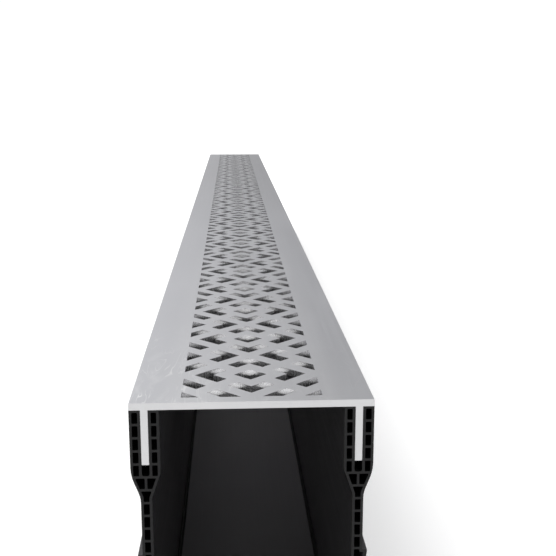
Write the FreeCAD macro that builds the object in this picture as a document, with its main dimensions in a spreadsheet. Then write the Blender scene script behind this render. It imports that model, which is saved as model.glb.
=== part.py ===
import FreeCAD, Part
import os, math
import Sketcher

# Channel drain, millimetres.
# Frame: origin in the middle of the length, on the base the trough stands on.
#   +X across the drain, +Y along the drain, +Z up.
# Two pieces:
#   channel_body  extruded twin-wall trough with forked wall tops and a pair of
#                 anchoring barbs down the outside
#   grate         extruded plate with two legs, lattice of slots cut through it

doc = FreeCAD.newDocument("channel_drain")

# ---------------------------------------------------------------- dimensions
sheet = doc.addObject("Spreadsheet::Sheet", "dims")
sheet.Label = "dims"
DIMS = [
    ("length",       1500.0,  "length of the drain"),
    ("height",        150.0,  "base to walking surface"),
    ("half_width",     50.0,  "half the overall width, plate and fork alike"),
    ("plate_thick",     3.0,  "thickness of the grating plate"),
    ("plate_edge",      0.35, "edge rounding of the plate's long edges"),
    ("leg_thick",       3.0,  "thickness of each leg"),
    ("leg_centre",     43.8,  "leg centre from the middle plane"),
    ("leg_reach",      26.6,  "walking surface to the foot of the leg"),
    ("leg_corner",      0.25, "corner rounding at the foot of the leg"),
    ("slot_wide",       3.2,  "width of the slot that takes the leg"),
    ("slot_corner",     0.9,  "corner rounding at the slot's floor"),
    ("skin",            1.1,  "skins of the twin wall"),
    ("rung",            1.0,  "rungs and webs between the skins"),
    ("cell_corner",     0.35, "corner rounding of the hollow cells"),
    ("arm_face",       37.75, "inner face of the fork from the middle plane"),
    ("wall_face",      41.5,  "inner face of the lower wall"),
    ("wall_out",       46.15, "outer face of the lower wall"),
    ("pitch",           5.694, "rung spacing down the wall"),
    ("in_top",         30.3,  "walking surface to the top of the inner slope"),
    ("in_end",         41.3,  "walking surface to the foot of the inner slope"),
    ("in_round",        4.0,  "rounding at both ends of the inner slope"),
    ("out_top",        31.1,  "walking surface to the top of the outer slope"),
    ("out_end",        40.95, "walking surface to the foot of the outer slope"),
    ("out_round_top",  18.0,  "rounding at the top of the outer slope"),
    ("out_round_end",  12.0,  "rounding at the foot of the outer slope"),
    ("barb_top",       66.83, "walking surface to the ledge of the barb"),
    ("barb_reach",     48.27, "tip of the barb from the middle plane"),
    ("barb_end",       83.16, "walking surface to the foot of the barb"),
    ("barb_tip",        0.3,  "rounding of the barb's tip"),
    ("barb_thick",      1.52, "thickness of the barb's outer skin at its top"),
    ("floor_thick",     4.65, "thickness of the hollow floor"),
    ("gutter_wide",     2.2,  "width of the gutter along each side of the floor"),
    ("gutter_deep",     2.2,  "depth of that gutter"),
    ("foot_round",      1.5,  "outer rounding at the foot of each wall"),
    ("floor_cells",     7,    "hollow cells in each half of the floor"),
    ("arm_cells",       5,    "hollow cells in each arm of the fork"),
    ("upper_cells",     4,    "wall cells between slope and barb"),
    ("lower_cells",    11,    "wall cells between barb and floor"),
    ("tile",           58.35294117647059, "pitch of the lattice both ways"),
    ("margin",          6.0,  "plain band at each end of the lattice"),
    ("tiles",          25,    "whole repeats along the drain"),
    ("square_half",     5.1,  "half the side of the square hole"),
    ("ring_in",        11.5,  "inner half side of the broken ring"),
    ("ring_out",       17.41, "outer half side of the broken ring"),
    ("ring_gap",        3.25, "half the rib that breaks each side of the ring"),
]
VAL = {}
for row, (alias, value, note) in enumerate(DIMS, start=1):
    sheet.set("A%d" % row, note)
    sheet.set("B%d" % row, repr(value))
    sheet.setAlias("B%d" % row, alias)
    VAL[alias] = float(value)
doc.recompute()


class Q(object):
    """A length that knows its number and the sheet expression it comes from."""

    def __init__(self, v, s):
        self.v, self.s = float(v), s

    @staticmethod
    def of(x):
        return x if isinstance(x, Q) else Q(x, repr(float(x)))

    def __add__(self, o):
        o = Q.of(o)
        return Q(self.v + o.v, "(%s + %s)" % (self.s, o.s))

    def __radd__(self, o):
        return Q.of(o) + self

    def __sub__(self, o):
        o = Q.of(o)
        return Q(self.v - o.v, "(%s - %s)" % (self.s, o.s))

    def __rsub__(self, o):
        return Q.of(o) - self

    def __mul__(self, o):
        o = Q.of(o)
        return Q(self.v * o.v, "(%s * %s)" % (self.s, o.s))

    def __rmul__(self, o):
        return Q.of(o) * self

    def __truediv__(self, o):
        o = Q.of(o)
        return Q(self.v / o.v, "(%s / %s)" % (self.s, o.s))

    def __neg__(self):
        return Q(-self.v, "(0 - %s)" % self.s)


def root(q):
    return Q(math.sqrt(q.v), "sqrt(%s)" % q.s)


def D(alias):
    return Q(VAL[alias], "dims.%s" % alias)


# ------------------------------------------------------------------- helpers
def make_body(name):
    body = doc.addObject("PartDesign::Body", name)
    body.Label = name
    body.Placement = FreeCAD.Placement()
    return body


def origin_item(body, role):
    for item in body.Origin.OriginFeatures:
        if item.Role == role:
            return item
    raise RuntimeError("no %s in %s" % (role, body.Name))


def new_sketch(body, name, plane, offset=None):
    sk = body.newObject("Sketcher::SketchObject", name)
    sk.AttachmentSupport = [(origin_item(body, plane), "")]
    sk.MapMode = "FlatFace"
    if offset is not None:
        sk.AttachmentOffset = FreeCAD.Placement(
            FreeCAD.Vector(0, 0, offset.v), FreeCAD.Rotation())
        sk.setExpression("AttachmentOffset.Base.z", offset.s)
    return sk


def bind(sk, index, q):
    """Drive one dimensional constraint of a sketch from the sheet."""
    sk.setExpression("Constraints[%d]" % index, q.s)


def place_vertex(sk, geo, pos, qx, qy):
    c = sk.addConstraint(Sketcher.Constraint("DistanceX", -1, 1, geo, pos, qx.v))
    bind(sk, c, qx)
    c = sk.addConstraint(Sketcher.Constraint("DistanceY", -1, 1, geo, pos, qy.v))
    bind(sk, c, qy)


def add_polygon(sk, verts, rounds=None):
    """Closed outline through verts [(Qx, Qy)]; rounds gives each corner's
    radius (Q) or None for a sharp corner. Every vertex and every radius is a
    constraint driven from the sheet."""
    n = len(verts)
    verts = [(Q.of(a), Q.of(b)) for a, b in verts]
    rounds = rounds or [None] * n
    P = [FreeCAD.Vector(a.v, b.v, 0) for a, b in verts]
    cut_in, cut_out, centre = [], [], []
    for k in range(n):
        r = rounds[k]
        if r is None:
            cut_in.append(P[k]); cut_out.append(P[k]); centre.append(None)
            continue
        to_prev = (P[k - 1] - P[k]).normalize()
        to_next = (P[(k + 1) % n] - P[k]).normalize()
        half = to_prev.getAngle(to_next) / 2.0
        t = r.v / math.tan(half)
        mid = (to_prev + to_next).normalize()
        cut_in.append(P[k] + to_prev * t)
        cut_out.append(P[k] + to_next * t)
        centre.append(P[k] + mid * (r.v / math.sin(half)))
    lines = []
    for k in range(n):
        lines.append(sk.addGeometry(
            Part.LineSegment(cut_out[k], cut_in[(k + 1) % n]), False))
    for k in range(n):
        before, after = lines[k - 1], lines[k]
        if rounds[k] is None:
            sk.addConstraint(Sketcher.Constraint("Coincident", before, 2, after, 1))
            place_vertex(sk, after, 1, *verts[k])
            continue
        c = centre[k]
        a0 = math.atan2(cut_in[k].y - c.y, cut_in[k].x - c.x)
        a1 = math.atan2(cut_out[k].y - c.y, cut_out[k].x - c.x)
        turn = (a1 - a0) % (2 * math.pi)
        circle = Part.Circle(c, FreeCAD.Vector(0, 0, 1), rounds[k].v)
        if turn < math.pi:
            arc = sk.addGeometry(Part.ArcOfCircle(circle, a0, a0 + turn), False)
            first, last = 1, 2
        else:
            arc = sk.addGeometry(
                Part.ArcOfCircle(circle, a1, a1 + (2 * math.pi - turn)), False)
            first, last = 2, 1
        sk.addConstraint(Sketcher.Constraint("Tangent", before, 2, arc, first))
        sk.addConstraint(Sketcher.Constraint("Tangent", arc, last, after, 1))
        i = sk.addConstraint(Sketcher.Constraint("Radius", arc, rounds[k].v))
        bind(sk, i, rounds[k])
        point = sk.addGeometry(Part.Point(P[k]), True)
        sk.addConstraint(Sketcher.Constraint("PointOnObject", point, 1, before))
        sk.addConstraint(Sketcher.Constraint("PointOnObject", point, 1, after))
        place_vertex(sk, point, 1, *verts[k])


def add_box(sk, x0, x1, y0, y1, r):
    add_polygon(sk, [(x0, y0), (x1, y0), (x1, y1), (x0, y1)], [r] * 4)


def pad_both_ways(body, sk, name, length):
    pad = body.newObject("PartDesign::Pad", name)
    pad.Profile = sk
    pad.Type = "Length"
    pad.SideType = "Symmetric"
    pad.Length = length.v
    pad.setExpression("Length", length.s)
    pad.Refine = True
    body.Tip = pad
    doc.recompute()
    return pad


def cut_through(body, sk, name, both_ways=True):
    before = body.Shape.Volume
    cut = body.newObject("PartDesign::Pocket", name)
    cut.Profile = sk
    cut.Type = "ThroughAll"
    if both_ways:
        cut.SideType = "Symmetric"
    cut.Refine = True
    body.Tip = cut
    doc.recompute()
    if not body.Shape.Volume < before - 1.0:
        raise RuntimeError("%s cuts nothing" % name)
    return cut


def repeat(body, feature, name, direction, spacing, count, backwards=False):
    before = body.Shape.Volume
    rep = body.newObject("PartDesign::LinearPattern", name)
    rep.Originals = [feature]
    rep.Direction = direction
    rep.Mode = "Spacing"
    rep.Reversed = backwards
    rep.Offset = spacing.v
    rep.setExpression("Offset", spacing.s)
    rep.Occurrences = int(round(count.v))
    rep.setExpression("Occurrences", count.s)
    rep.Refine = True
    body.Tip = rep
    doc.recompute()
    if not body.Shape.Volume < before - 1.0:
        raise RuntimeError("%s cuts nothing" % name)
    return rep


# -------------------------------------------------------------- channel body
# The right half of the section is built and mirrored about the middle plane.
H = D("height")
skin, rung, pitch = D("skin"), D("rung"), D("pitch")
cell_r = D("cell_corner")
under_plate = H - D("plate_thick")
slot_in = D("leg_centre") - D("slot_wide") / 2
slot_out = D("leg_centre") + D("slot_wide") / 2


def rung_top(k):
    return under_plate - pitch * k


def rung_bottom(k):
    return under_plate - pitch * k - rung


# where the two slopes of the wall lie at a given height
in_slope = (D("wall_face") - D("arm_face")) / (D("in_end") - D("in_top"))
out_slope = (D("half_width") - D("wall_out")) / (D("out_end") - D("out_top"))
barb_slope = (D("barb_reach") - D("wall_out")) / (D("barb_end") - D("barb_top"))
one = Q(1.0, "1")
in_skin = skin * root(one + in_slope * in_slope)
out_skin = skin * root(one + out_slope * out_slope)


def inner_face(z):
    return D("arm_face") + (H - D("in_top") - z) * in_slope


def outer_face(z):
    return D("half_width") - (H - D("out_top") - z) * out_slope


channel = make_body("channel_body")
outline = new_sketch(channel, "half_section", "XZ_Plane")
zero = Q(0.0, "0")
floor_top = D("floor_thick")
gutter_floor = D("floor_thick") - D("gutter_deep")
gutter_edge = D("wall_face") - D("gutter_wide")
slot_floor = rung_top(5)
verts = [
    (zero, zero),
    (D("wall_out"), zero),
    (D("wall_out"), H - D("barb_end")),
    (D("barb_reach"), H - D("barb_top")),
    (D("wall_out"), H - D("barb_top")),
    (D("wall_out"), H - D("out_end")),
    (D("half_width"), H - D("out_top")),
    (D("half_width"), under_plate),
    (slot_out, under_plate),
    (slot_out, slot_floor),
    (slot_in, slot_floor),
    (slot_in, under_plate),
    (D("arm_face"), under_plate),
    (D("arm_face"), H - D("in_top")),
    (D("wall_face"), H - D("in_end")),
    (D("wall_face"), gutter_floor),
    (gutter_edge, gutter_floor),
    (gutter_edge, floor_top),
    (zero, floor_top),
]
rounds = [None] * len(verts)
rounds[1] = D("foot_round")
rounds[3] = D("barb_tip")
rounds[5] = D("out_round_end")
rounds[6] = D("out_round_top")
rounds[9] = rounds[10] = D("slot_corner")
rounds[13] = rounds[14] = D("in_round")
rounds[15] = rounds[16] = rounds[17] = D("cell_corner")
add_polygon(outline, verts, rounds)
pad_both_ways(channel, outline, "half_extrusion", D("length"))

down = (origin_item(channel, "Z_Axis"), [""])
across = (origin_item(channel, "X_Axis"), [""])

# hollow cells of the two arms of the fork
s = new_sketch(channel, "arm_cell", "XZ_Plane")
add_box(s, D("arm_face") + skin, slot_in - skin, rung_top(1), rung_bottom(0), cell_r)
add_box(s, slot_out + skin, D("half_width") - skin, rung_top(1), rung_bottom(0), cell_r)
f = cut_through(channel, s, "arm_cell_cut")
repeat(channel, f, "arm_cells", down, pitch, D("arm_cells"), backwards=True)

# hollow cells where the fork narrows into the single wall
s = new_sketch(channel, "slope_cells", "XZ_Plane")
z0, z1 = rung_bottom(5), rung_top(6)
web_in = D("leg_centre") - rung / 2
web_out = D("leg_centre") + rung / 2
add_polygon(s, [(inner_face(z1) + in_skin, z1), (web_in, z1), (web_in, z0),
                (inner_face(z0) + in_skin, z0)], [cell_r] * 4)
add_polygon(s, [(web_out, z1), (outer_face(z1) - out_skin, z1),
                (outer_face(z0) - out_skin, z0), (web_out, z0)], [cell_r] * 4)
z0, z1 = rung_bottom(6), rung_top(7)
cell_in = D("wall_face") + skin
cell_out = D("wall_out") - skin
z_in = H - D("in_top") - (cell_in - in_skin - D("arm_face")) / in_slope
z_out = H - D("out_top") - (D("half_width") - out_skin - cell_out) / out_slope
add_polygon(s, [(cell_in, z1), (cell_out, z1), (cell_out, z_out),
                (outer_face(z0) - out_skin, z0), (inner_face(z0) + in_skin, z0),
                (cell_in, z_in)],
            [cell_r, cell_r, None, cell_r, cell_r, None])
cut_through(channel, s, "slope_cell_cut")

# hollow cells of the wall between slope and barb, and below the barb
s = new_sketch(channel, "upper_wall_cell", "XZ_Plane")
add_box(s, cell_in, cell_out, rung_top(8), rung_bottom(7), cell_r)
f = cut_through(channel, s, "upper_wall_cell_cut")
repeat(channel, f, "upper_wall_cells", down, pitch, D("upper_cells"), backwards=True)

s = new_sketch(channel, "lower_wall_cell", "XZ_Plane")
add_box(s, cell_in, cell_out, rung_top(15), rung_bottom(14), cell_r)
f = cut_through(channel, s, "lower_wall_cell_cut")
repeat(channel, f, "lower_wall_cells", down, pitch, D("lower_cells"), backwards=True)

# hollow cells behind the barb, closed outside by its sloping skin
s = new_sketch(channel, "barb_cells", "XZ_Plane")
ledge_under = H - D("barb_top") - skin
barb_end_z = H - D("barb_end")
barb_in_top = D("barb_reach") - barb_slope * skin - D("barb_thick")
barb_in_slope = (barb_in_top - cell_out) / (ledge_under - barb_end_z)


def barb_in(z):
    return cell_out + (z - barb_end_z) * barb_in_slope


z1 = rung_top(12)
add_polygon(s, [(cell_in, z1), (barb_in(z1), z1), (barb_in_top, ledge_under),
                (cell_out, ledge_under), (cell_out, rung_bottom(11)),
                (cell_in, rung_bottom(11))],
            [cell_r, cell_r, cell_r, None, cell_r, cell_r])
for k in (12, 13):
    z0, z1 = rung_bottom(k), rung_top(k + 1)
    add_polygon(s, [(cell_in, z1), (barb_in(z1), z1), (barb_in(z0), z0),
                    (cell_in, z0)], [cell_r] * 4)
cut_through(channel, s, "barb_cell_cut")

# hollow cell at the foot of the wall, and the cells of the floor
s = new_sketch(channel, "foot_cell", "XZ_Plane")
add_box(s, cell_in, cell_out, skin, floor_top - rung, cell_r)
cut_through(channel, s, "foot_cell_cut")

s = new_sketch(channel, "floor_cell", "XZ_Plane")
floor_span = gutter_edge - skin - rung / 2
floor_pitch = (floor_span + rung) / D("floor_cells")
add_box(s, rung / 2, floor_pitch - rung / 2, skin, floor_top - rung, cell_r)
f = cut_through(channel, s, "floor_cell_cut")
repeat(channel, f, "floor_cells", across, floor_pitch, D("floor_cells"))

half_volume = channel.Shape.Volume
whole = channel.newObject("PartDesign::Mirrored", "both_halves")
whole.TransformMode = "Whole shape"
whole.MirrorPlane = (origin_item(channel, "YZ_Plane"), [""])
whole.Refine = True
channel.Tip = whole
doc.recompute()
if abs(channel.Shape.Volume - 2 * half_volume) > 1e-3 * half_volume:
    raise RuntimeError("the mirrored channel is not twice its half")

# --------------------------------------------------------------------- grate
grate = make_body("grate")
profile = new_sketch(grate, "plate_and_legs", "XZ_Plane")
W = D("half_width")
leg_in = D("leg_centre") - D("leg_thick") / 2
leg_out = D("leg_centre") + D("leg_thick") / 2
foot = H - D("leg_reach")
verts = [
    (-W, H), (-W, under_plate), (-leg_out, under_plate), (-leg_out, foot),
    (-leg_in, foot), (-leg_in, under_plate), (leg_in, under_plate),
    (leg_in, foot), (leg_out, foot), (leg_out, under_plate),
    (W, under_plate), (W, H),
]
rounds = [None] * len(verts)
for k in (0, 1, 10, 11):
    rounds[k] = D("plate_edge")
for k in (3, 4, 7, 8):
    rounds[k] = D("leg_corner")
add_polygon(profile, verts, rounds)
pad_both_ways(grate, profile, "plate_extrusion", D("length"))

# Lattice: two interleaved rows of the same motif, a small square set on its
# corner inside a square ring that a rib breaks in the middle of each side.
# Row one is on the middle line; row two is centred on the edges of the
# lattice, half a tile further on, and is cut off there.
diag = root(Q(2.0, "2"))
a, i, o, e = D("square_half"), D("ring_in"), D("ring_out"), D("ring_gap")
tile = D("tile")
near = D("margin") - D("length") / 2
far = D("length") / 2 - D("margin")
side = tile / 2


def turned(u, v, cx, cy):
    """A point given along the two diagonals, from the motif's centre."""
    return ((u - v) / diag + cx, (u + v) / diag + cy)


def arrow(sk, su, sv, cx, cy):
    """One L-shaped slot of the ring, its corner towards (su, sv)."""
    pts = [(o, o), (e, o), (e, i), (i, i), (i, e), (o, e)]
    pts = [turned(u if su > 0 else -u, v if sv > 0 else -v, cx, cy) for u, v in pts]
    if su * sv < 0:
        pts.reverse()
    add_polygon(sk, pts)


tip_out = o * diag            # ring corner from the motif's centre
tip_in = i * diag
arm_tip = (o - e) / diag      # half the overall reach of a slot across its axis
arm_far = (o + e) / diag
arm_in = (i - e) / diag
arm_mid = (i + e) / diag
top_plane = H
along = (origin_item(grate, "Y_Axis"), [""])

# whole motifs on the middle line
cy = near + side
s = new_sketch(grate, "middle_motif", "XY_Plane", top_plane)
add_polygon(s, [(zero, cy - a * diag), (a * diag, cy), (zero, cy + a * diag),
                (-(a * diag), cy)])
for su, sv in ((1, 1), (-1, 1), (-1, -1), (1, -1)):
    arrow(s, su, sv, zero, cy)
f = cut_through(grate, s, "middle_motif_cut", both_ways=False)
repeat(grate, f, "middle_row", along, tile, D("tiles"))

# half a motif where the far margin cuts the last one
s = new_sketch(grate, "middle_end", "XY_Plane", top_plane)
add_polygon(s, [(zero, far - a * diag), (a * diag, far), (-(a * diag), far)])
arrow(s, -1, -1, zero, far)
for m in (1, -1):
    pts = [(tip_in, far), (tip_out, far), (arm_far, far - arm_tip),
           (arm_mid, far - arm_in)]
    add_polygon(s, [(x if m > 0 else -x, y) for x, y in
                    (pts if m < 0 else pts[::-1])])
cut_through(grate, s, "middle_end_cut", both_ways=False)


# motifs centred on the two edges of the lattice: half of each shows
def edge_motif(sk, cy, whole_motif):
    for m in (1, -1):
        def at(x, y):
            return (x if m > 0 else -x, y)
        # the square, halved by the lattice's edge
        lowest = cy - a * diag if whole_motif else cy
        pts = [at(side, cy + a * diag), at(side - a * diag, cy), at(side, lowest)]
        add_polygon(sk, pts)
        # the slot pointing to the middle line
        pts = [at(side - tip_out, cy), at(side - arm_far, cy + arm_tip),
               at(side - arm_mid, cy + arm_in), at(side - tip_in, cy)]
        if whole_motif:
            pts += [at(side - arm_mid, cy - arm_in), at(side - arm_far, cy - arm_tip)]
        add_polygon(sk, pts)
        # the slots ahead of and behind the square, halved by the edge
        for d in ((1, -1) if whole_motif else (1,)):
            def off(q):
                return cy + q if d > 0 else cy - q
            add_polygon(sk, [at(side, off(tip_in)), at(side - arm_in, off(arm_mid)),
                             at(side - arm_tip, off(arm_far)), at(side, off(tip_out))])


s = new_sketch(grate, "edge_motif", "XY_Plane", top_plane)
edge_motif(s, near + tile, True)
f = cut_through(grate, s, "edge_motif_cut", both_ways=False)
repeat(grate, f, "edge_rows", along, tile, D("tiles"))

s = new_sketch(grate, "edge_end", "XY_Plane", top_plane)
edge_motif(s, near, False)
cut_through(grate, s, "edge_end_cut", both_ways=False)

# --------------------------------------------------------------------- write
doc.recompute()
for obj in doc.Objects:
    bad = [w for w in obj.State if w in ("Invalid", "Error")]
    if bad:
        raise RuntimeError("%s is %s" % (obj.Label, bad))
os.makedirs("parts", exist_ok=True)
for body in (channel, grate):
    shape = body.Shape
    if shape.isNull() or not shape.isValid() or len(shape.Solids) != 1:
        raise RuntimeError("%s is not one valid solid" % body.Label)
    shape.exportStep(os.path.join("parts", body.Label + ".step"))
    box = shape.BoundBox
    print("%s: %.1f cm3, %d faces, x %.2f..%.2f y %.2f..%.2f z %.2f..%.2f" % (
        body.Label, shape.Volume / 1000.0, len(shape.Faces), box.XMin, box.XMax,
        box.YMin, box.YMax, box.ZMin, box.ZMax))
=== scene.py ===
import math

import bpy
from mathutils import Matrix, Vector


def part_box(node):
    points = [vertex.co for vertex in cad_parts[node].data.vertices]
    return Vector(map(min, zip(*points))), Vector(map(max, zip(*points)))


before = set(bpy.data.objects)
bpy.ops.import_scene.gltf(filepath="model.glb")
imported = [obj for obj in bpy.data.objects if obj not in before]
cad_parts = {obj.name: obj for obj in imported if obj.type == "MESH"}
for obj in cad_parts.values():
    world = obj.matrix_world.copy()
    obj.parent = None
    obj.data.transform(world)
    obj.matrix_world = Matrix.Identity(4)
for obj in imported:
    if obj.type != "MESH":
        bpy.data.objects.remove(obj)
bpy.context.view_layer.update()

scene = bpy.context.scene
scene.view_settings.view_transform = "Standard"
scene.view_settings.look = "None"

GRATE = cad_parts["grate"]
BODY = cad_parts["channel_body"]

# The frame's sizes that the patterns follow, in metres.
LOW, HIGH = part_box("grate")
PLATE_TOP = HIGH[2]
NEAR_END, FAR_END = LOW[1], HIGH[1]
HALF_WIDTH = HIGH[0]
BODY_LOW, BODY_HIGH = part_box("channel_body")
CELL_PITCH = 0.005694


# ---------------------------------------------------------------- camera
def look(position, pitch, yaw, focal_pixels):
    """A level camera at position, turned yaw towards +X and pitched down, in radians."""
    forward = Vector(
        (math.sin(yaw) * math.cos(pitch), math.cos(yaw) * math.cos(pitch), -math.sin(pitch))
    )
    right = Vector((math.cos(yaw), -math.sin(yaw), 0.0))
    up = right.cross(forward)
    turn = Matrix((right, up, -forward)).transposed()
    data = bpy.data.cameras.new("camera")
    data.sensor_width = 36.0
    data.lens = focal_pixels / 556.0 * 36.0
    data.clip_start, data.clip_end = 0.01, 100.0
    camera = bpy.data.objects.new("camera", data)
    camera.matrix_world = Matrix.Translation(position) @ turn.to_4x4()
    scene.collection.objects.link(camera)
    scene.camera = camera


look(Vector((-0.0075818, NEAR_END - 0.3393607, PLATE_TOP + 0.1218235)), 0.2057, 0.0531, 881.4731)


# ---------------------------------------------------------------- node helpers
class Tree:
    """Short calls for building a node tree."""

    def __init__(self, name):
        self.material = bpy.data.materials.new(name)
        self.material.use_nodes = True
        self.tree = self.material.node_tree
        self.tree.nodes.clear()
        self.out = self.add("ShaderNodeOutputMaterial")
        self.shader = self.add("ShaderNodeBsdfPrincipled")
        self.join(self.shader.outputs[0], self.out.inputs["Surface"])
        self.place = self.add("ShaderNodeTexCoord").outputs["Object"]

    def add(self, kind, **settings):
        node = self.tree.nodes.new(kind)
        for key, value in settings.items():
            setattr(node, key, value)
        return node

    def join(self, source, target):
        self.tree.links.new(source, target)

    def feed(self, value, socket):
        if isinstance(value, bpy.types.NodeSocket):
            self.join(value, socket)
        else:
            socket.default_value = value

    def calc(self, operation, *values, clamp=False):
        node = self.add("ShaderNodeMath", operation=operation, use_clamp=clamp)
        for value, socket in zip(values, node.inputs):
            self.feed(value, socket)
        return node.outputs[0]

    def noise(self, grain, detail=2.0, rough=0.5, distortion=0.0, shift=(0.0, 0.0, 0.0)):
        """Noise whose grain has these sizes in metres along X, Y and Z."""
        scaled = self.add("ShaderNodeMapping")
        scaled.inputs["Scale"].default_value = [1.0 / g for g in grain]
        scaled.inputs["Location"].default_value = shift
        self.join(self.place, scaled.inputs["Vector"])
        node = self.add("ShaderNodeTexNoise")
        node.inputs["Scale"].default_value = 1.0
        node.inputs["Detail"].default_value = detail
        node.inputs["Roughness"].default_value = rough
        node.inputs["Distortion"].default_value = distortion
        self.join(scaled.outputs[0], node.inputs["Vector"])
        return node.outputs["Fac"]

    def span(self, value, low, high, to_low, to_high, smooth=False):
        """Takes low..high to to_low..to_high and holds the ends."""
        node = self.add("ShaderNodeMapRange", clamp=True)
        node.interpolation_type = "SMOOTHSTEP" if smooth else "LINEAR"
        for key, number in zip(("From Min", "From Max", "To Min", "To Max"), (low, high, to_low, to_high)):
            node.inputs[key].default_value = number
        self.join(value, node.inputs["Value"])
        return node.outputs["Result"]

    def blend(self, factor, first, second):
        """A number between two, by factor."""
        node = self.add("ShaderNodeMix", data_type="FLOAT")
        self.feed(factor, node.inputs[0])
        self.feed(first, node.inputs[2])
        self.feed(second, node.inputs[3])
        return node.outputs[0]

    def tint(self, factor, first, second):
        """A colour between two, by factor."""
        node = self.add("ShaderNodeMix", data_type="RGBA")
        self.feed(factor, node.inputs[0])
        for value, socket in ((first, node.inputs[6]), (second, node.inputs[7])):
            self.feed(value if isinstance(value, bpy.types.NodeSocket) else (*value, 1.0), socket)
        return node.outputs[2]

    def normal(self):
        node = self.add("ShaderNodeSeparateXYZ")
        self.join(self.add("ShaderNodeNewGeometry").outputs["Normal"], node.inputs[0])
        return node.outputs

    def where(self):
        node = self.add("ShaderNodeSeparateXYZ")
        self.join(self.place, node.inputs[0])
        return node.outputs

    def bump(self, height, strength, distance, under=None):
        node = self.add("ShaderNodeBump")
        node.inputs["Strength"].default_value = strength
        node.inputs["Distance"].default_value = distance
        self.join(height, node.inputs["Height"])
        if under is not None:
            self.join(under, node.inputs["Normal"])
        return node.outputs[0]


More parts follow.
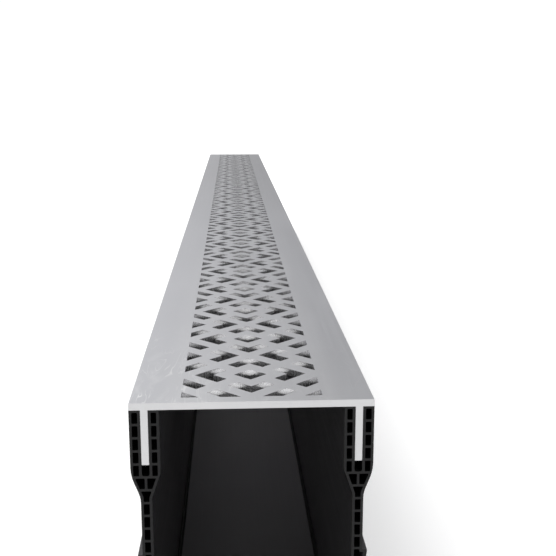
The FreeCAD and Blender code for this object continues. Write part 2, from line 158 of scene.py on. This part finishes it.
# ---------------------------------------------------------------- aluminium
def aluminium():
    t = Tree("satin_aluminium")
    nx, ny, nz = t.normal()
    x, y, z = t.where()
    # the sawn ends, and the sides of the punched openings and the legs
    sawn = t.calc("GREATER_THAN", t.calc("ABSOLUTE", ny), 0.9)
    at_end = t.calc(
        "GREATER_THAN", t.calc("ABSOLUTE", y), (FAR_END - NEAR_END) / 2 - 0.0005
    )
    sawn = t.calc("MULTIPLY", sawn, at_end)
    flat = t.calc("GREATER_THAN", t.calc("ABSOLUTE", nz), 0.7)
    # the walls of the openings, which the punch leaves smooth
    wall = t.calc("MULTIPLY", t.calc("SUBTRACT", 1.0, flat), t.calc("LESS_THAN", t.calc("ABSOLUTE", x), 0.036))
    wall = t.calc("MULTIPLY", wall, t.calc("SUBTRACT", 1.0, sawn))

    # lengthwise satin finish: hair lines, wider bands, and slow patches
    hair = t.noise((0.00022, 0.060, 0.00022), detail=3.0, rough=0.65)
    band = t.noise((0.0016, 0.220, 0.0016), detail=2.0, rough=0.5, shift=(3.1, 1.7, 0.4))
    patch = t.noise((0.045, 0.110, 0.045), detail=3.0, rough=0.55, shift=(0.7, 4.2, 1.3))
    # vertical striations on the walls of the openings
    cut = t.noise((0.00028, 0.00028, 0.0045), detail=2.0, rough=0.6, shift=(9.0, 2.0, 5.0))
    # saw marks across the ends
    saw = t.noise((0.030, 0.010, 0.00016), detail=2.0, rough=0.6, shift=(1.0, 6.0, 2.0))

    # light scuffs and smears, mostly by the near corner where the grating is lifted out
    curve = t.noise((0.0075, 0.040, 0.0075), detail=1.5, distortion=1.3, shift=(2.4, 0.3, 7.0))
    thin = t.calc("ABSOLUTE", t.calc("SUBTRACT", curve, 0.5))
    thin = t.span(thin, 0.0, 0.026, 1.0, 0.0, smooth=True)
    broken = t.noise((0.012, 0.022, 0.012), detail=2.0, shift=(5.5, 5.5, 5.5))
    thin = t.calc("MULTIPLY", thin, t.span(broken, 0.42, 0.64, 0.0, 1.0, smooth=True))
    smear = t.noise((0.009, 0.020, 0.009), detail=4.0, rough=0.6, distortion=0.8, shift=(8.1, 3.3, 2.2))
    smear = t.span(smear, 0.48, 0.75, 0.0, 0.40, smooth=True)
    corner = t.calc(
        "MULTIPLY",
        t.span(y, NEAR_END, NEAR_END + 0.15, 1.0, 0.08, smooth=True),
        t.span(x, -HALF_WIDTH, 0.010, 1.0, 0.18, smooth=True),
    )
    scuff = t.calc("MULTIPLY", t.calc("MAXIMUM", thin, smear), t.calc("MULTIPLY", corner, flat))

    grain = t.calc("ADD", t.calc("MULTIPLY", hair, 0.6), t.calc("MULTIPLY", band, 0.4))
    grain = t.blend(flat, cut, grain)
    grain = t.blend(sawn, grain, saw)
    tone = t.calc("ADD", t.calc("MULTIPLY", grain, 0.55), t.calc("MULTIPLY", patch, 0.45))
    tone = t.span(tone, 0.30, 0.70, 0.0, 1.0)
    colour = t.tint(tone, (0.520, 0.524, 0.540), (0.585, 0.588, 0.602))
    # painted shade: the plate is painted darker towards the far end and towards +X
    plate_far_shade = t.span(y, NEAR_END + 0.12, FAR_END - 0.30, 0.0, 0.72, smooth=True)
    plate_far_shade = t.calc("MULTIPLY", plate_far_shade, t.span(x, -0.040, 0.030, 0.90, 1.30, smooth=True), clamp=True)
    colour = t.tint(plate_far_shade, colour, (0.375, 0.376, 0.383))
    # painted highlight: the bars between the openings are painted brighter towards the near end
    bar_near_highlight = t.calc(
        "MULTIPLY",
        t.span(y, NEAR_END, NEAR_END + 0.40, 1.0, 0.0),
        t.span(t.calc("ABSOLUTE", x), 0.030, 0.041, 1.0, 0.0, smooth=True),
    )
    colour = t.tint(t.calc("MULTIPLY", bar_near_highlight, 0.30), colour, (0.70, 0.70, 0.70))
    ends = t.tint(tone, (0.492, 0.492, 0.498), (0.535, 0.535, 0.541))
    colour = t.tint(sawn, colour, ends)
    # the walls of the openings are smooth and catch the light at their far corners; from 1 to 3 mm below the top
    # their colour is painted darker, as shade deeper in the openings
    wall_depth_shade = t.span(t.calc("SUBTRACT", PLATE_TOP, z), 0.0010, 0.0030, 0.0, 1.0, smooth=True)
    walls = t.tint(wall_depth_shade, t.tint(tone, (0.74, 0.74, 0.75), (0.80, 0.80, 0.805)), (0.50, 0.50, 0.503))
    colour = t.tint(wall, colour, walls)
    colour = t.tint(t.calc("MULTIPLY", scuff, 0.72), colour, (0.88, 0.88, 0.87))
    t.join(colour, t.shader.inputs["Base Color"])

    rough = t.calc(
        "ADD",
        t.span(grain, 0.30, 0.70, 0.33, 0.43),
        t.span(patch, 0.30, 0.70, -0.02, 0.03),
    )
    rough = t.blend(flat, 0.42, rough)
    rough = t.blend(sawn, rough, 0.50)
    rough = t.blend(wall, rough, t.span(cut, 0.35, 0.65, 0.240, 0.275))
    rough = t.calc("ADD", rough, t.calc("MULTIPLY", scuff, 0.10))
    t.join(rough, t.shader.inputs["Roughness"])

    t.join(t.blend(wall, 1.0, 0.94), t.shader.inputs["Metallic"])
    t.shader.inputs["Specular Tint"].default_value = (0.90, 0.90, 0.92, 1.0)
    t.shader.inputs["Anisotropic"].default_value = 0.25
    t.shader.inputs["Anisotropic Rotation"].default_value = 0.25
    along = t.add("ShaderNodeTangent", direction_type="RADIAL", axis="X")
    t.join(along.outputs[0], t.shader.inputs["Tangent"])

    relief = t.bump(t.calc("MULTIPLY", grain, t.blend(wall, 1.0, 0.06)), 0.30, 0.00004)
    relief = t.bump(patch, 0.25, 0.0004, relief)
    t.join(relief, t.shader.inputs["Normal"])
    return t.material


# ---------------------------------------------------------------- plastic
def plastic():
    t = Tree("extruded_black_plastic")
    nx, ny, nz = t.normal()
    x, y, z = t.where()
    at_end = t.calc(
        "GREATER_THAN", t.calc("ABSOLUTE", y), (FAR_END - NEAR_END) / 2 - 0.0005
    )
    sawn = t.calc("MULTIPLY", t.calc("GREATER_THAN", t.calc("ABSOLUTE", ny), 0.9), at_end)

    # lengthwise lines left by the die, slow patches, fine grain, and saw marks on the ends
    line = t.noise((0.0009, 0.40, 0.0009), detail=3.0, rough=0.6)
    patch = t.noise((0.030, 0.120, 0.030), detail=3.0, rough=0.55, shift=(4.0, 1.0, 2.0))
    fine = t.noise((0.00035, 0.00035, 0.00035), detail=2.0, rough=0.6)
    saw = t.noise((0.012, 0.010, 0.00022), detail=2.0, rough=0.6, shift=(1.0, 3.0, 8.0))

    # the skins sink slightly between the rungs, which shows as lengthwise bands
    wave = t.calc("MULTIPLY", t.calc("SUBTRACT", z, BODY_HIGH[2]), 2.0 * math.pi / CELL_PITCH)
    wave = t.calc("COSINE", wave)
    upright = t.calc("GREATER_THAN", t.calc("ABSOLUTE", nx), 0.8)
    wave = t.calc("MULTIPLY", wave, upright)

    surface = t.calc("ADD", t.calc("MULTIPLY", line, 0.6), t.calc("MULTIPLY", patch, 0.4))
    tone = t.span(surface, 0.32, 0.68, 0.0, 1.0)
    colour = t.tint(tone, (0.0385, 0.0370, 0.0400), (0.0505, 0.0488, 0.0520))
    # painted light: low inside the trough the walls and, most of all, the floor are painted lighter, fading towards
    # the open ends
    inside = t.calc("LESS_THAN", t.calc("ABSOLUTE", x), 0.0416)
    low = t.span(z, BODY_LOW[2] + 0.020, BODY_LOW[2] + 0.115, 1.0, 0.35, smooth=True)
    inward = t.span(t.calc("ABSOLUTE", y), 0.36, 0.68, 1.0, 0.12, smooth=True)
    trough_painted_lift = t.calc("MULTIPLY", t.calc("MULTIPLY", inside, low), inward)
    trough_painted_lift = t.calc("MULTIPLY", trough_painted_lift, t.blend(t.calc("GREATER_THAN", z, BODY_LOW[2] + 0.007), 1.0, 0.55))
    colour = t.tint(trough_painted_lift, colour, (0.165, 0.159, 0.168))
    # painted shade: the inner walls are painted near black towards the open ends
    end_wall_shade = t.span(t.calc("ABSOLUTE", y), 0.62, 0.745, 1.0, 0.30, smooth=True)
    end_wall_shade = t.calc("MULTIPLY", t.calc("SUBTRACT", 1.0, end_wall_shade), inside)
    end_wall_shade = t.calc("MULTIPLY", end_wall_shade, t.calc("GREATER_THAN", z, BODY_LOW[2] + 0.006))
    colour = t.tint(end_wall_shade, colour, (0.006, 0.006, 0.0062))
    # painted shade: the two corner gutters are painted near black, as the shadow in them
    gutter_shade = t.calc(
        "MULTIPLY",
        t.calc("LESS_THAN", z, BODY_LOW[2] + 0.00463),
        t.calc("GREATER_THAN", z, BODY_LOW[2] + 0.0018),
    )
    gutter_shade = t.calc("MULTIPLY", gutter_shade, inside)
    colour = t.tint(gutter_shade, colour, (0.0030, 0.0030, 0.0032))
    # painted shade: the hollow cells inside the walls and floor are painted near black, where no light reaches them
    half = t.span(z, 0.105, 0.1185, 0.0023 - 0.0005, 0.0061 - 0.0005)
    middle = t.calc("ABSOLUTE", t.calc("SUBTRACT", t.calc("ABSOLUTE", x), 0.0438))
    cell_shade = t.calc("LESS_THAN", middle, half)
    colour = t.tint(cell_shade, colour, (0.0030, 0.0030, 0.0032))
    ends = t.tint(t.span(saw, 0.3, 0.7, 0.0, 1.0), (0.0125, 0.0125, 0.0128), (0.0180, 0.0180, 0.0183))
    t.join(t.tint(sawn, colour, ends), t.shader.inputs["Base Color"])

    rough = t.calc("ADD", t.span(surface, 0.32, 0.68, 0.36, 0.50), t.span(fine, 0.3, 0.7, -0.02, 0.02))
    t.join(t.blend(sawn, rough, 0.85), t.shader.inputs["Roughness"])
    t.shader.inputs["IOR"].default_value = 1.49
    t.shader.inputs["Specular IOR Level"].default_value = 0.22

    height = t.blend(sawn, line, saw)
    relief = t.bump(height, 0.30, 0.00006)
    relief = t.bump(fine, 0.25, 0.00002, relief)
    relief = t.bump(wave, 0.50, 0.00005, relief)
    t.join(relief, t.shader.inputs["Normal"])
    return t.material


def dress(node, material):
    for slot in node.material_slots:
        slot.material = material


dress(GRATE, aluminium())
dress(BODY, plastic())


# ---------------------------------------------------------------- floor and light
def floor():
    side = 30.0
    mesh = bpy.data.meshes.new("floor")
    mesh.from_pydata(
        [(-side, -side, 0), (side, -side, 0), (side, side, 0), (-side, side, 0)], [], [(0, 1, 2, 3)]
    )
    plane = bpy.data.objects.new("floor", mesh)
    plane.location.z = -0.0002
    scene.collection.objects.link(plane)
    t = Tree("pale_floor")
    cloud = t.noise((0.8, 0.8, 0.8), detail=2.0)
    t.join(t.tint(cloud, (0.83, 0.83, 0.83), (0.85, 0.85, 0.85)), t.shader.inputs["Base Color"])
    t.shader.inputs["Roughness"].default_value = 0.9
    t.shader.inputs["Specular IOR Level"].default_value = 0.1
    t.shader.inputs["Emission Color"].default_value = (1.0, 1.0, 1.0, 1.0)
    t.shader.inputs["Emission Strength"].default_value = 0.22
    mesh.materials.append(t.material)


def sky(seen, right, left, front):
    """White to look at. It lights the part as wide soft boxes do: one in front, -Y, and one behind it to the left."""
    world = bpy.data.worlds.new("studio")
    scene.world = world
    world.use_nodes = True
    tree = world.node_tree
    tree.nodes.clear()

    def add(kind, **settings):
        node = tree.nodes.new(kind)
        for key, value in settings.items():
            setattr(node, key, value)
        return node

    out = add("ShaderNodeOutputWorld")
    mix = add("ShaderNodeMixShader")
    tree.links.new(add("ShaderNodeLightPath").outputs["Is Camera Ray"], mix.inputs[0])
    shown, light = add("ShaderNodeBackground"), add("ShaderNodeBackground")
    shown.inputs["Color"].default_value = (1.0, 1.0, 1.0, 1.0)
    light.inputs["Color"].default_value = (0.990, 0.990, 1.0, 1.0)
    shown.inputs["Strength"].default_value = seen
    way = add("ShaderNodeSeparateXYZ")
    tree.links.new(add("ShaderNodeTexCoord").outputs["Generated"], way.inputs[0])
    ramp = add("ShaderNodeMapRange", clamp=True)
    ramp.interpolation_type = "SMOOTHSTEP"
    side = add("ShaderNodeMapRange", clamp=True)
    side.interpolation_type = "SMOOTHSTEP"
    up = add("ShaderNodeMapRange", clamp=True)
    up.interpolation_type = "SMOOTHSTEP"
    tree.links.new(way.outputs[2], up.inputs["Value"])
    for node, numbers in (
        (ramp, (0.25, -0.75, 0.0, 1.0)),
        (side, (0.16, -0.22, right, left)),
        (up, (0.08, 0.38, 0.77, 1.12)),
    ):
        for key, number in zip(("From Min", "From Max", "To Min", "To Max"), numbers):
            node.inputs[key].default_value = number
    tree.links.new(way.outputs[1], ramp.inputs["Value"])
    tree.links.new(way.outputs[0], side.inputs["Value"])
    both = add("ShaderNodeMix", data_type="FLOAT")
    both.inputs[3].default_value = front
    tree.links.new(ramp.outputs[0], both.inputs[0])
    tree.links.new(side.outputs[0], both.inputs[2])
    scaled = add("ShaderNodeMath", operation="MULTIPLY")
    tree.links.new(both.outputs[0], scaled.inputs[0])
    tree.links.new(up.outputs[0], scaled.inputs[1])
    tree.links.new(scaled.outputs[0], light.inputs["Strength"])
    tree.links.new(light.outputs[0], mix.inputs[1])
    tree.links.new(shown.outputs[0], mix.inputs[2])
    tree.links.new(mix.outputs[0], out.inputs["Surface"])


def lamp(name, azimuth, elevation, strength, softness, colour=(1.0, 1.0, 1.0), glossy=True):
    """A soft far lamp. Azimuth 0 is towards +Y and 90 towards +X."""
    data = bpy.data.lights.new(name, "SUN")
    data.energy = strength
    data.color = colour
    data.angle = math.radians(softness)
    lamp_object = bpy.data.objects.new(name, data)
    a, e = math.radians(azimuth), math.radians(elevation)
    towards = Vector((math.sin(a) * math.cos(e), math.cos(a) * math.cos(e), math.sin(e)))
    lamp_object.rotation_mode = "QUATERNION"
    lamp_object.rotation_quaternion = towards.to_track_quat("Z", "Y")
    lamp_object.visible_glossy = glossy
    scene.collection.objects.link(lamp_object)


floor()
sky(1.05, 0.48, 1.12, 0.70)
lamp("key", -38.0, 36.0, 2.0, 42.0, (1.0, 1.0, 0.975), glossy=False)
lamp("overhead", 0.0, 86.0, 0.8, 70.0)
lamp("front", 179.0, 11.0, 0.30, 30.0)
